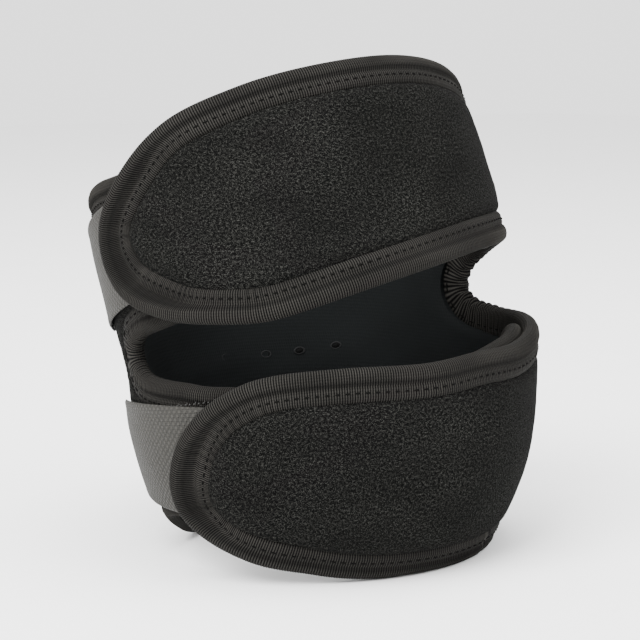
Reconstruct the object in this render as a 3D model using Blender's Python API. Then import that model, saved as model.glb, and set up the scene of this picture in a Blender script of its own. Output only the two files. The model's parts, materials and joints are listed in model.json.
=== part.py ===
"""Wrap-around elbow pad: a laminated hub panel, two inner arms, two outer straps with hook tape ends.

Every sheet lies on one bent oval tube. A place on the tube is an angle in degrees (90 is the middle of the
hub, at the back), a height along the bent axis in millimetres and a level along the outward normal.
Level 0 is the outer cloth of the hub. Lengths are millimetres until the mesh is made in metres.
"""

import math

import bmesh
import bpy
import numpy as np
from mathutils import Matrix, Vector

MM = 0.001

# Tube
HALF_WIDTH = 53.0
HALF_DEPTH = 49.5
FOLD_LEAN = 22.3
LEAN_RADIUS = 85.0
LEAN_START = 28.0
FOOT_CURL = 12.5
FOOT_CURL_HEIGHT = 42.0
CROWN_CURL = 4.0
CROWN_CURL_START = 90.0
CROWN_CURL_HEIGHT = 28.0
FLOOR_CUT = -1.6
AXIS_X = 1.36
AXIS_Y = -6.97

# Laminate, from the skin outwards
LINING = 0.6
FOAM = 2.2
CLOTH = 0.6
PLY_GAP = 0.3
SHEET = LINING + FOAM + CLOTH + 2 * PLY_GAP
BINDING_WIDTH = 8.0
BINDING_RAISE = 0.2
SEAM_GAP = 0.3
END_GAP = 0.17
HOOK_LEVEL = 0.6
STRAP_CLEARANCE = 0.8
TAPE_CLEARANCE = 2.0
HOOKS = 0.8
TAPE_BACKING = 0.6

# Angles, in degrees
STRAP_FOLD = 298.0
LIFT_END = -14.0
LIFT_START = 14.0
TONGUE_LIFT_START = 230.0
TONGUE_LIFT_END = 210.0
COLUMN_STEP = 8.0
NEAREST_COLUMNS = 0.3
FREE_TAPE = 35.5
TAPE_SPLIT_GAP = 1.6
SEWN_TAPE = 22.0

# Edges, as angle and height, each with the cloth on its left. The long run goes from the right fold along the
# foot of the hub, round both arms and back over the top of the hub.
HUB_FOOT = [(-62, 0), (-40, -0.5), (-12, -2), (20, -3), (60, -3), (100, -3), (132, -2), (148, 2.5), (162, 8)]
LOWER_ARM_FOOT = [(180, 11), (215, 12), (260, 12), (300, 13)]
LOWER_ARM_TIP = [(329, 15.5), (340, 22), (343, 31), (341, 40), (333, 46.5)]
LOWER_ARM_TOP = [(320, 47.5), (300, 45.5), (270, 43.5), (235, 43.5), (204, 45.2)]
LEFT_NOTCH = [(192, 47), (183, 48.5), (174.5, 50.5), (169.5, 53), (167, 56.8), (169.5, 60), (176, 61.2), (187, 60.8)]
UPPER_ARM_FOOT = [(205, 61), (235, 63), (270, 65), (305, 67)]
UPPER_ARM_TIP = [(328, 70), (339, 76), (342, 84), (339, 92), (328, 98)]
UPPER_ARM_TOP = [(305, 102), (270, 104), (230, 104), (195, 103), (181, 104.5)]
HUB_TOP = [(165, 106.5), (140, 107), (100, 107), (60, 107), (20, 108), (-12, 111), (-40, 115), (-62, 116.5)]
RIGHT_NOTCH = [
    (-62, 64.5), (-44, 69), (-30, 70.3), (-18, 70.8), (-10.5, 69.5), (-7, 65), (-9, 60.5), (-15, 57.5),
    (-28, 55), (-42, 51.5), (-62, 46.7),
]
UPPER_STRAP = [
    (298, 116.5), (278, 117), (256, 115.6), (232, 114), (214, 112), (201, 109.3), (190, 104), (179.5, 97),
    (173.8, 90.5), (173, 86), (175.2, 80), (180, 72), (188, 64.8), (200, 59.2), (214, 56.2), (226, 55.5),
    (246, 57.2), (272, 60.3), (298, 64.5),
]
LOWER_STRAP = [
    (298, 46.7), (280, 45.8), (262, 45), (240, 45.8), (222, 46), (211, 44.6), (201, 41.2), (192.5, 35.5),
    (188, 28), (187, 22.5), (189, 16), (196, 10.5), (208, 6.2), (226, 2.2), (246, 0.4), (272, 0), (298, 0),
]
UPPER_TAPE = ((70.0, 101.0), (70.0, 101.0))
LOWER_TAPE = ((13.5, 44.5), (15.0, 40.8))

COLOURS = {
    "cloth": ((0.020, 0.020, 0.019), 0.95),
    "foam": ((0.012, 0.012, 0.012), 0.90),
    "lining": ((0.009, 0.010, 0.010), 0.80),
    "binding": ((0.030, 0.029, 0.027), 0.85),
    "hooks": ((0.090, 0.087, 0.080), 0.70),
    "tape": ((0.130, 0.126, 0.116), 0.65),
}


def curl(height):
    """How far the elastic edges draw the wall in at a height."""
    foot = FOOT_CURL * np.clip(1 - height / FOOT_CURL_HEIGHT, 0, None) ** 2.1
    crown = CROWN_CURL * np.clip((height - CROWN_CURL_START) / CROWN_CURL_HEIGHT, 0, None) ** 2
    return foot + crown


def wall(angle, height):
    """Points of the hub's outer cloth."""
    angle, height = np.broadcast_arrays(np.asarray(angle, float), np.asarray(height, float))
    turn = np.radians(angle)
    lean = math.radians(FOLD_LEAN)
    bend = np.clip((height - LEAN_START) / LEAN_RADIUS, 0, lean)
    rest = np.maximum(height - LEAN_START - LEAN_RADIUS * lean, 0)
    x = (HALF_WIDTH - curl(height)) * np.cos(turn)
    y = (HALF_DEPTH - curl(height)) * np.sin(turn)
    back = LEAN_RADIUS * (1 - np.cos(bend)) + rest * np.sin(bend) + y * np.cos(bend)
    up = np.minimum(height, LEAN_START) + LEAN_RADIUS * np.sin(bend) + rest * np.cos(bend) - y * np.sin(bend)
    return np.stack([x + AXIS_X, back + AXIS_Y, up - FLOOR_CUT], -1)


def outward(angle, height):
    """Unit normals of the wall."""
    step = 0.05
    around = wall(np.add(angle, step), height) - wall(np.subtract(angle, step), height)
    along = wall(angle, np.add(height, step)) - wall(angle, np.subtract(height, step))
    normal = np.cross(around, along)
    return normal / np.linalg.norm(normal, axis=-1, keepdims=True)


def place(angle, height, level):
    """Points at a level off the wall, kept on or above the floor."""
    level = np.broadcast_to(level, np.broadcast(angle, height).shape)
    points = wall(angle, height) + outward(angle, height) * level[..., None]
    points[..., 2] = np.maximum(points[..., 2], 0)
    return points


def ease(value):
    value = np.clip(value, 0, 1)
    return value * value * (3 - 2 * value)


def arm_level(angle):
    return np.full(np.shape(angle), -SHEET)


def strap_level(angle):
    """Level of the skin side of the hub, its right ends and the straps: it rises over the inner arms."""
    angle = np.asarray(angle, float)
    right = np.where(angle > 170, angle - 360, angle)
    level = -SHEET + (SHEET + STRAP_CLEARANCE) * ease((LIFT_START - right) / (LIFT_START - LIFT_END))
    return level + TAPE_CLEARANCE * np.where(
        angle > 170, ease((TONGUE_LIFT_START - angle) / (TONGUE_LIFT_START - TONGUE_LIFT_END)), 0
    )


def smooth(points, steps):
    """A Catmull-Rom curve through the points, which is open at both ends."""
    points = np.array(points, float)
    padded = np.vstack([2 * points[0] - points[1], points, 2 * points[-1] - points[-2]])
    made = []
    for start in range(len(points) - 1):
        a, b, c, d = padded[start : start + 4]
        for t in np.arange(steps) / steps:
            made.append(
                0.5 * (2 * b + (c - a) * t + (2 * a - 5 * b + 4 * c - d) * t**2 + (3 * b - a - 3 * c + d) * t**3)
            )
    made.append(points[-1])
    return np.array(made)


def inward(path):
    """For each point of a path, the change in angle and height that moves 1 mm into the cloth on its left."""
    angle, height = path.T
    step = 0.05
    around = np.linalg.norm(wall(angle + step, height) - wall(angle - step, height), axis=1) / (2 * step)
    along = np.linalg.norm(wall(angle, height + step) - wall(angle, height - step), axis=1) / (2 * step)
    tangent = np.gradient(path, axis=0) * np.stack([around, along], 1)
    tangent /= np.linalg.norm(tangent, axis=1, keepdims=True)
    return np.stack([-tangent[:, 1] / around, tangent[:, 0] / along], 1)


class Fold:
    """A hinge line that stands just outside the sheets, and the plane through it that parts them."""

    def __init__(self, angle, height, level, direction=None):
        self.angle = angle
        base = place(angle, height, 0.0)
        normal = outward(angle, height)
        if direction is None:
            direction = wall(angle, height + 1) - wall(angle, height - 1)
        self.direction = np.array(direction, float) / np.linalg.norm(direction)
        normal = normal - self.direction * normal.dot(self.direction)
        normal /= np.linalg.norm(normal)
        self.point = base + normal * level
        self.across = np.cross(self.direction, normal)

    def angle_at(self, height, level):
        """The angle at which the sheet meets the plane."""
        low = np.full(np.shape(height), self.angle - 12.0)
        high = np.full(np.shape(height), self.angle + 12.0)
        for _ in range(30):
            middle = (low + high) / 2
            beyond = (place(middle, height, level) - self.point) @ self.across > 0
            high = np.where(beyond, middle, high)
            low = np.where(beyond, low, middle)
        return (low + high) / 2


def columns(start, end, edges=()):
    """Angles from start to end, with one at each corner of the edges and none far apart."""
    low, high = min(start, end), max(start, end)
    corners = np.sort(np.concatenate([np.asarray(edge)[:, 0] for edge in edges])) if len(edges) else []
    kept = [low]
    for corner in [c for c in corners if low < c < high] + [high]:
        if corner - kept[-1] < NEAREST_COLUMNS:
            if corner == high:
                kept[-1] = high
            continue
        count = math.ceil((corner - kept[-1]) / COLUMN_STEP)
        kept += list(np.linspace(kept[-1], corner, count + 1)[1:])
    kept[0] = low
    return np.array(kept)


def link(mesh_name, points, faces, colour, collection):
    """One closed body, with its own material."""
    data = bpy.data.meshes.new(mesh_name)
    data.from_pydata([tuple(p * MM) for p in points], [], faces)
    body = bmesh.new()
    body.from_mesh(data)
    bmesh.ops.remove_doubles(body, verts=body.verts, dist=0.00002)
    bmesh.ops.recalc_face_normals(body, faces=body.faces)
    body.to_mesh(data)
    body.free()
    tone, rough = COLOURS[colour]
    material = bpy.data.materials.new(mesh_name)
    material.use_nodes = True
    shader = material.node_tree.nodes["Principled BSDF"]
    shader.inputs["Base Color"].default_value = (*tone, 1)
    shader.inputs["Roughness"].default_value = rough
    data.materials.append(material)
    for face in data.polygons:
        face.use_smooth = True
    obj = bpy.data.objects.new(mesh_name, data)
    collection.objects.link(obj)
    return obj


def ply(name, angles, heights, levels, colour, collection):
    """A curved sheet from a grid of angles and heights, between two levels."""
    bottom, top = levels
    rows = np.stack([place(angles, heights, bottom), place(angles, heights, top)])
    _, wide, tall, _ = rows.shape
    points = rows.reshape(-1, 3)

    def at(side, i, j):
        return side * wide * tall + i * tall + j

    faces = []
    for i in range(wide - 1):
        for j in range(tall - 1):
            faces.append((at(0, i, j), at(0, i, j + 1), at(0, i + 1, j + 1), at(0, i + 1, j)))
            faces.append((at(1, i, j), at(1, i + 1, j), at(1, i + 1, j + 1), at(1, i, j + 1)))
    for i in range(wide - 1):
        for j in (0, tall - 1):
            faces.append((at(0, i, j), at(0, i + 1, j), at(1, i + 1, j), at(1, i, j)))
    for j in range(tall - 1):
        for i in (0, wide - 1):
            faces.append((at(0, i, j), at(1, i, j), at(1, i, j + 1), at(0, i, j + 1)))
    return link(name, points, faces, colour, collection)


def laminate(prefix, angles, low, high, base_level, rows, collection, fold=None):
    """Lining, foam and loop cloth over one stretch of the tube."""
    share = np.linspace(0, 1, rows + 1)
    heights = low[:, None] + (high - low)[:, None] * share[None, :]
    grid = np.repeat(angles[:, None], rows + 1, axis=1)
    if fold is not None:
        near = np.clip(1 - np.abs(grid - fold.angle) / 30.0, 0, 1)
        side = np.sign(angles.mean() - fold.angle)
        edge = fold.angle_at(heights, base_level(grid) + SHEET / 2)
        grid = grid + (edge - fold.angle + side * END_GAP) * near
    base = base_level(grid)
    made = []
    bottom = 0.0
    for layer, thickness, colour in (("lining", LINING, "lining"), ("foam", FOAM, "foam"), ("loop_face", CLOTH, "cloth")):
        levels = (base + bottom, base + bottom + thickness)
        made.append(ply(f"{prefix}_{layer}", grid, heights, levels, colour, collection))
        bottom += thickness + PLY_GAP
    return made


def binding(name, path, base_level, collection, folds=(None, None), sides=(1, -1)):
    """The folded edge tape with the pressed edge of the sheet inside it, swept along a path."""
    low = -BINDING_RAISE
    high = SHEET + BINDING_RAISE
    rim = BINDING_WIDTH - SEAM_GAP / 2
    section = [(rim, 0.1), (1.3, low), (0.0, 1.1), (0.0, SHEET - 1.1), (1.3, high), (rim, SHEET - 0.1)]
    step = inward(path)
    rings = []
    for depth, level in section:
        angle, height = (path + step * depth).T.copy()
        angle[0] = path[0, 0]
        angle[-1] = path[-1, 0]
        middle = len(path) // 2
        for fold, part in zip(folds, (slice(0, middle), slice(middle, None))):
            if fold is not None:
                near = np.clip(1 - np.abs(angle[part] - fold.angle) / 30.0, 0, 1)
                edge = fold.angle_at(height[part], base_level(angle[part]) + SHEET / 2)
                angle[part] += (edge - fold.angle) * near
        base = base_level(angle)
        angle[0] += sides[0] * END_GAP
        angle[-1] += sides[1] * END_GAP
        rings.append(place(angle, height, base + level))
    rings = np.stack(rings, 1)
    count, size, _ = rings.shape
    faces = [tuple(range(size)), tuple(range((count - 1) * size, count * size))]
    for i in range(count - 1):
        for j in range(size):
            k = (j + 1) % size
            faces.append((i * size + j, i * size + k, (i + 1) * size + k, (i + 1) * size + j))
    return link(name, rings.reshape(-1, 3), faces, "binding", collection)


def edge_height(line, angles):
    """Heights of a seam at some angles."""
    order = np.argsort(line[:, 0], kind="stable")
    return np.interp(angles, line[order, 0], line[order, 1])


def hook_tape(prefix, spans, start, end, collection, fold, side):
    """One stretch of hook tape: a woven backing and the field of hooks under it."""
    angles = columns(start, end)
    share = np.linspace(0, 1, 4)[None, :]
    far_angle, near_angle = fold.angle - FREE_TAPE, fold.angle + SEWN_TAPE
    mix = ((angles - far_angle) / (near_angle - far_angle))[:, None]
    low = spans[0][0] + (spans[1][0] - spans[0][0]) * mix
    high = spans[0][1] + (spans[1][1] - spans[0][1]) * mix
    grid = np.repeat(angles[:, None], 4, axis=1)
    hooks = (HOOK_LEVEL, HOOK_LEVEL + HOOKS)
    backing = (hooks[1] + 0.15, hooks[1] + 0.15 + TAPE_BACKING)
    near = np.clip(1 - np.abs(grid - fold.angle) / 12.0, 0, 1)
    made = []
    for layer, levels, margin, colour in (("backing", backing, 0.0, "tape"), ("hooks", hooks, 1.0, "hooks")):
        heights = low + margin + (high - low - 2 * margin) * share
        bent = grid + (fold.angle_at(heights, HOOK_LEVEL + HOOKS) - fold.angle + side * END_GAP) * near
        made.append(ply(f"{prefix}_{layer}", bent, heights, levels, colour, collection))
    return made


def hinge(name, fold, collection):
    """An empty on the hinge line, with its Z axis along it, and its matrix."""
    turn = Vector(fold.direction).to_track_quat("Z", "Y")
    matrix = Matrix.LocRotScale(Vector(fold.point * MM), turn, None)
    empty = bpy.data.objects.new(name, None)
    empty.empty_display_size = 0.02
    empty.matrix_world = matrix
    collection.objects.link(empty)
    return empty, matrix


def hang(objects, empty, matrix):
    """Parents the pieces, with their origins moved onto the hinge line."""
    for obj in objects:
        obj.data.transform(matrix.inverted())
        obj.parent = empty


def strap(prefix, outline, spans, height, fold, collection):
    """An outer strap, its hook tape and the two hinges."""
    path = smooth(outline, 2)
    inner = path + inward(path) * (BINDING_WIDTH + SEAM_GAP / 2)
    tip = int(np.argmin(inner[:, 0]))
    angles = columns(inner[tip, 0] + 0.1, STRAP_FOLD, (inner,))
    high = edge_height(inner[: tip + 1], angles)
    low = edge_height(inner[tip:], angles)
    made = laminate(f"{prefix}_strap", angles, low, high, strap_level, 4, collection, fold)
    made.append(binding(f"{prefix}_strap_binding", path, strap_level, collection, (fold, fold), (-1, -1)))
    split = float(path[:, 0].min()) - TAPE_SPLIT_GAP
    peel = Fold(split, height, HOOK_LEVEL + HOOKS + 0.15 + TAPE_BACKING + 0.1)
    made += hook_tape(f"{prefix}_sewn_tape", spans, split, split + SEWN_TAPE, collection, peel, 1)
    free = hook_tape(f"{prefix}_free_tape", spans, split - FREE_TAPE, split, collection, peel, -1)
    hang(made, *hinge(f"{prefix}_strap_hinge", fold, collection))
    hang(free, *hinge(f"{prefix}_tape_hinge", peel, collection))


def hub_level(angle):
    """Level of the skin side of the hub with its right ends and its arms."""
    return np.where(np.asarray(angle) > 150, -SHEET, strap_level(np.minimum(angle, 150)))


def hub_and_arms(upper_fold, lower_fold, collection):
    """The fixed sheet: the hub, the roots of the straps on its right and the arms on its left."""
    runs = [
        HUB_FOOT, LOWER_ARM_FOOT, LOWER_ARM_TIP, LOWER_ARM_TOP, LEFT_NOTCH, UPPER_ARM_FOOT, UPPER_ARM_TIP,
        UPPER_ARM_TOP, HUB_TOP,
    ]
    path = smooth([point for run in runs for point in run], 2)
    starts = [2 * sum(len(run) for run in runs[:index]) for index in range(len(runs))]
    inner = path + inward(path) * (BINDING_WIDTH + SEAM_GAP / 2)
    lower_tip = int(np.argmax(inner[: starts[3] + 4, 0]))
    notch = starts[3] + int(np.argmin(inner[starts[3] : starts[5] + 4, 0]))
    upper_tip = notch + int(np.argmax(inner[notch:, 0]))
    foot, lower_top = inner[: lower_tip + 1], inner[lower_tip : notch + 1]
    upper_foot, crown = inner[notch : upper_tip + 1], inner[upper_tip:]

    slot = smooth(RIGHT_NOTCH, 2)
    slot_inner = slot + inward(slot) * (BINDING_WIDTH + SEAM_GAP / 2)
    slot_end = int(np.argmax(slot_inner[:, 0]))
    slot_top, slot_foot = slot_inner[: slot_end + 1], slot_inner[slot_end:]

    hub_right = float(slot_inner[slot_end, 0]) + 0.3
    hub_left = float(inner[notch, 0]) - 0.3
    angles = columns(hub_right, hub_left)
    laminate("hub", angles, edge_height(foot, angles), edge_height(crown, angles), hub_level, 8, collection)

    angles = columns(upper_fold.angle, hub_right - 0.35, (slot_top,))
    low = edge_height(slot_top, angles) + 0.15
    laminate("upper_root", angles, low, edge_height(crown, angles), hub_level, 4, collection, upper_fold)
    angles = columns(lower_fold.angle, hub_right - 0.35, (slot_foot,))
    high = edge_height(slot_foot, angles) - 0.15
    laminate("lower_root", angles, edge_height(foot, angles), high, hub_level, 4, collection, lower_fold)

    angles = columns(hub_left + 0.35, float(inner[upper_tip, 0]) - 0.1, (upper_foot,))
    low = edge_height(upper_foot, angles) + 0.15
    laminate("upper_arm", angles, low, edge_height(crown, angles), arm_level, 3, collection)
    angles = columns(hub_left + 0.35, float(inner[lower_tip, 0]) - 0.1, (lower_top,))
    high = edge_height(lower_top, angles) - 0.15
    laminate("lower_arm", angles, edge_height(foot, angles), high, arm_level, 3, collection)

    for name, first, last, folds, sides in (
        ("hub_foot_binding", 0, starts[1], (lower_fold, None), (1, -1)),
        ("lower_arm_binding", starts[1], starts[4], (None, None), (1, 1)),
        ("left_notch_binding", starts[4], starts[5], (None, None), (-1, -1)),
        ("upper_arm_binding", starts[5], starts[8], (None, None), (1, 1)),
        ("hub_top_binding", starts[8], len(path) - 1, (None, upper_fold), (-1, 1)),
    ):
        binding(name, path[first : last + 1], hub_level, collection, folds, sides)
    binding("right_notch_binding", slot, hub_level, collection, (upper_fold, lower_fold), (1, 1))


def build():
    """Makes the whole pad."""
    for obj in list(bpy.data.objects):
        bpy.data.objects.remove(obj, do_unlink=True)
    pad = bpy.data.collections.new("elbow_pad")
    bpy.context.scene.collection.children.link(pad)
    outside = float(strap_level(STRAP_FOLD)) + SHEET + BINDING_RAISE + 0.1
    hub_and_arms(Fold(STRAP_FOLD - 360, 88.0, outside), Fold(STRAP_FOLD - 360, 40.0, outside, (0, 0, 1)), pad)
    strap("upper", UPPER_STRAP, UPPER_TAPE, 86.0, Fold(STRAP_FOLD, 88.0, outside), pad)
    strap("lower", LOWER_STRAP, LOWER_TAPE, 29.0, Fold(STRAP_FOLD, 40.0, outside, (0, 0, 1)), pad)


build()
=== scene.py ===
"""Looks of a wrap-around elbow pad: loop cloth panels, ribbed edge binding, stitching and hook tape.

Every sheet lies on one bent oval tube. A place on it is an angle in degrees (90 is the middle of
the hub), a height along the bent axis and a level along the outward normal, both in millimetres.
Meshes are in metres.
"""

import json
import logging
import math
from dataclasses import dataclass, field
from enum import Enum
from functools import lru_cache
from typing import Any, Iterable, Optional, Sequence, Union

import bmesh
import bpy
import numpy as np
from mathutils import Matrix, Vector, geometry, kdtree

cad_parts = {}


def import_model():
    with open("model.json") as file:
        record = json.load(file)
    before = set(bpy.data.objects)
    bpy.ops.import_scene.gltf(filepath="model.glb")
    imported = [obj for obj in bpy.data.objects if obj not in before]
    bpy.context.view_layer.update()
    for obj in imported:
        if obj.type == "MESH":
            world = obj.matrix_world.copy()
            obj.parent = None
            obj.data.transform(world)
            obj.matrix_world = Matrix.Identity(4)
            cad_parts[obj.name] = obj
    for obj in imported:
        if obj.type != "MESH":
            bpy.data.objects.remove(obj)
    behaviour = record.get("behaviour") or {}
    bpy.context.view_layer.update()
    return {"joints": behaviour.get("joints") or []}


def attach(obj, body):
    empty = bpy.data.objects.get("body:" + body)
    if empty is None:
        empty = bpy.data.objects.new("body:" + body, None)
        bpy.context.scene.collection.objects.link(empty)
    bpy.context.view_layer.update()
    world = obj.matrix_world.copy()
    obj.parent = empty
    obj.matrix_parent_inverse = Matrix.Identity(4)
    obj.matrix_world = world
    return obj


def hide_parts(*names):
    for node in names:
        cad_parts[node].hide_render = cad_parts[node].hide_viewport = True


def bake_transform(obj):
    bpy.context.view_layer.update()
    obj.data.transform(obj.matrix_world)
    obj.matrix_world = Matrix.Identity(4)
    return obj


LOG = logging.getLogger("elbow_pad")
MM = 0.001
RIB_PITCH = 0.62
Array = np.ndarray


class Body(Enum):
    """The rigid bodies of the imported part."""

    HUB = "hub"
    UPPER_STRAP = "upper_strap"
    LOWER_STRAP = "lower_strap"
    UPPER_TAPE = "upper_tape_end"
    LOWER_TAPE = "lower_tape_end"


class Slot(Enum):
    """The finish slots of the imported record."""

    CLOTH = "loop_face"
    LINING = "lining"
    BINDING = "binding"
    TAPE = "backing"
    HOOKS = "hooks"


# ----------------------------------------------------------------------------
# Shader expressions


class Graph:
    """The node tree of one material, with one method that adds a node."""

    def __init__(self, name: str) -> None:
        """Starts an empty material.

        Args:
            name: The material's name.
        """
        self.material = bpy.data.materials.new(name)
        self.material.use_nodes = True
        self.tree = self.material.node_tree
        self.tree.nodes.clear()

    def node(self, kind: str, settings: Optional[dict[str, Any]] = None, **inputs: Any) -> Any:
        """Adds a node.

        Args:
            kind: The node's type without its ShaderNode prefix.
            settings: Properties set before its sockets; "stops" fills a colour ramp.
            inputs: Values or links of its sockets, by name with _ for a space, or by number as i0, i1.

        Returns:
            The node itself.
        """
        made = self.tree.nodes.new("ShaderNode" + kind)
        for key, value in (settings or {}).items():
            if key == "stops":
                self._fill_ramp(made.color_ramp, value)
            else:
                setattr(made, key, value)
        for key, value in inputs.items():
            number = key[1:]
            name = int(number) if key[0] == "i" and number.isdigit() else key.replace("_", " ")
            self.feed(made.inputs[name], value)
        return made

    @staticmethod
    def _fill_ramp(ramp: Any, stops: Sequence[tuple[float, float]]) -> None:
        """Sets a ramp's stops as pairs of place and grey value."""
        while len(ramp.elements) < len(stops):
            ramp.elements.new(1.0)
        for element, (place, grey) in zip(ramp.elements, stops):
            element.position = place
            element.color = (grey, grey, grey, 1.0)

    def feed(self, target: Any, value: Any) -> None:
        """Links a wrapped socket to a target, or sets the target's own value."""
        if isinstance(value, Signal):
            self.tree.links.new(value.socket, target)
        elif isinstance(value, (tuple, list)) and target.type == "RGBA" and len(value) == 3:
            target.default_value = (*value, 1.0)
        else:
            target.default_value = value

    def signal(
        self, kind: str, output: Union[int, str], settings: Optional[dict[str, Any]] = None, **inputs: Any
    ) -> "Signal":
        """Adds a node and wraps one of its outputs."""
        return Signal(self, self.node(kind, settings, **inputs).outputs[output])

    def cloth_place(self) -> "Signal":
        """Place on the cloth in millimetres, from the mesh's own cloth coordinates."""
        place = self.signal("UVMap", 0, {"uv_map": "cloth"})
        return place.times(1000.0)

    def noise(self, place: "Signal", scale: float, detail: float = 2.0, rough: float = 0.5) -> "Signal":
        """Smooth noise from 0 to 1."""
        return self.signal("TexNoise", 0, None, Vector=place, Scale=scale, Detail=detail, Roughness=rough)

    def mix(self, share: Any, first: Any, second: Any) -> "Signal":
        """Mixes two colours."""
        return self.signal("Mix", 2, {"data_type": "RGBA"}, i0=share, i6=first, i7=second)

    def bump(
        self, height: "Signal", depth: float, strength: float, under: Optional["Signal"] = None
    ) -> "Signal":
        """A normal from a height from 0 to 1 that stands for a depth in metres."""
        inputs: dict[str, Any] = {"Height": height, "Distance": depth, "Strength": strength}
        if under is not None:
            inputs["Normal"] = under
        return self.signal("Bump", 0, None, **inputs)


class Signal:
    """A number or vector socket that takes part in Python expressions."""

    def __init__(self, graph: Graph, socket: Any) -> None:
        """Wraps a socket of a graph."""
        self.graph = graph
        self.socket = socket

    def _math(self, operation: str, first: Any, second: Any = 0.0, clamp: bool = False) -> "Signal":
        """Adds a Math node."""
        settings = {"operation": operation, "use_clamp": clamp}
        return self.graph.signal("Math", 0, settings, i0=first, i1=second)

    def __add__(self, other: Any) -> "Signal":
        """Sum."""
        return self._math("ADD", self, other)

    __radd__ = __add__

    def __sub__(self, other: Any) -> "Signal":
        """Difference."""
        return self._math("SUBTRACT", self, other)

    def __rsub__(self, other: Any) -> "Signal":
        """Reflected difference."""
        return self._math("SUBTRACT", other, self)

    def __mul__(self, other: Any) -> "Signal":
        """Product."""
        return self._math("MULTIPLY", self, other)

    __rmul__ = __mul__

    def sine(self) -> "Signal":
        """Sine of an angle in radians."""
        return self._math("SINE", self)

    def power(self, exponent: float) -> "Signal":
        """Power."""
        return self._math("POWER", self, exponent)

    def between(self, low: float, high: float) -> "Signal":
        """0 below low, 1 above high and straight between them."""
        return self._math("DIVIDE", self - low, high - low, clamp=True)

    def part(self, axis: str) -> "Signal":
        """One component of a vector."""
        return self.graph.signal("SeparateXYZ", axis, None, Vector=self)

    def times(self, factor: Union[float, tuple[float, float, float]]) -> "Signal":
        """A vector with each component multiplied."""
        factors = factor if isinstance(factor, tuple) else (factor,) * 3
        return self.graph.signal("VectorMath", 0, {"operation": "MULTIPLY"}, i0=self, i1=factors)


# ----------------------------------------------------------------------------
# Finishes


@dataclass(frozen=True)
class Finish:
    """A surface finish that makes its material once."""

    name: str
    roughness: float = 0.9
    specular: float = 0.3
    made: dict = field(default_factory=dict, compare=False, repr=False)

    def surface(self, graph: Graph) -> tuple[Any, Any, Optional[Signal]]:
        """Colour, roughness and normal of the surface."""
        raise NotImplementedError

    def material(self) -> bpy.types.Material:
        """The material, made on first use.

        Returns:
            The Blender material.
        """
        if "material" not in self.made:
            graph = Graph(self.name)
            colour, rough, normal = self.surface(graph)
            shader = graph.node("BsdfPrincipled", None, Base_Color=colour, Roughness=rough)
            shader.inputs["Specular IOR Level"].default_value = self.specular
            if normal is not None:
                graph.feed(shader.inputs["Normal"], normal)
            out = graph.node("OutputMaterial")
            graph.tree.links.new(shader.outputs[0], out.inputs[0])
            self.made["material"] = graph.material
        return self.made["material"]


@dataclass(frozen=True)
class LoopCloth(Finish):
    """Brushed loop cloth: a fuzzy dark pile with paler curled loops."""

    dark: tuple[float, float, float] = (0.0017, 0.0017, 0.0017)
    pale: tuple[float, float, float] = (0.060, 0.060, 0.0545)

    def surface(self, graph: Graph) -> tuple[Any, Any, Optional[Signal]]:
        """Speckled pile colour over tufted bump."""
        place = graph.cloth_place()
        tufts = graph.noise(place, 1.5, 3.0, 0.65)
        curls = graph.noise(place, 4.0, 2.0, 0.6)
        brushed = graph.noise(place.times((0.05, 0.09, 1.0)), 1.0, 2.0, 0.5)
        speckle = (tufts * 0.4 + curls * 0.6).between(0.47, 0.70)
        share = speckle.power(1.4) * (0.3 + brushed * 1.0)
        colour = graph.mix(share, self.dark, self.pale)
        rough = 0.98 - speckle * 0.1
        pile = graph.bump(tufts, 0.0006, 0.7)
        return colour, rough, graph.bump(curls, 0.0003, 0.7, pile)


@dataclass(frozen=True)
class Jersey(Finish):
    """Smooth lining knit: fine wales, near black."""

    dark: tuple[float, float, float] = (0.0023, 0.0028, 0.0029)
    pale: tuple[float, float, float] = (0.0062, 0.0072, 0.0074)

    def surface(self, graph: Graph) -> tuple[Any, Any, Optional[Signal]]:
        """Fine knit wales with faint wear."""
        place = graph.cloth_place()
        wales = (place.part("X") * 8.5).sine() * 0.5 + 0.5
        courses = (place.part("Y") * 6.0).sine() * 0.5 + 0.5
        knit = wales * 0.6 + courses * 0.4
        worn = graph.noise(place, 0.11, 3.0, 0.6)
        colour = graph.mix(knit * 0.35 + worn * 0.5, self.dark, self.pale)
        return colour, 0.72 + worn * 0.2, graph.bump(knit, 0.00012, 0.5)


@dataclass(frozen=True)
class RibbedTape(Finish):
    """Folded edge binding: a knitted tape with ribs across it, with painted highlight on the crests and
    painted shade between them and along the crease.
    """

    pitch: float = RIB_PITCH
    # Place across the tape, in millimetres, of the painted shade along the fold's crease.
    crease: float = 5.3
    dark: tuple[float, float, float] = (0.0008, 0.0008, 0.0008)
    pale: tuple[float, float, float] = (0.045, 0.0425, 0.038)

    def surface(self, graph: Graph) -> tuple[Any, Any, Optional[Signal]]:
        """Painted highlight that follows the rib crests, painted shade in the valleys and along the crease,
        with knit bump over them.
        """
        place = graph.cloth_place()
        # Painted highlight and shade: paler on the rib crests and darker in the valleys, in step with the
        # ribs of the geometry.
        crest = (place.part("X") * (2 * math.pi / self.pitch) + math.pi / 2).sine() * 0.5 + 0.5
        knit = (place.part("Y") * 9.0).sine() * 0.5 + 0.5
        lint = graph.noise(place, 2.2, 3.0, 0.6)
        patchy = graph.noise(place.times((0.05, 0.2, 1.0)), 1.0, 2.0, 0.5)
        # Painted shade in the crease: the colour drops to half on the crease line and is full again about
        # 0.9 mm either side.
        crease_shade = (place.part("Y") - self.crease).power(2.0).between(0.0, 0.8) * 0.5 + 0.5
        share = (crest * 0.66 + lint * 0.34 + knit * 0.08 - 0.27) * (0.3 + patchy * 0.9) * crease_shade
        colour = graph.mix(share, self.dark, self.pale)
        ribs = graph.bump(crest, 0.00014, 0.8)
        return colour, 0.92 - crest * 0.12, graph.bump(knit * 0.5 + lint * 0.5, 0.00016, 0.6, ribs)


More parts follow.
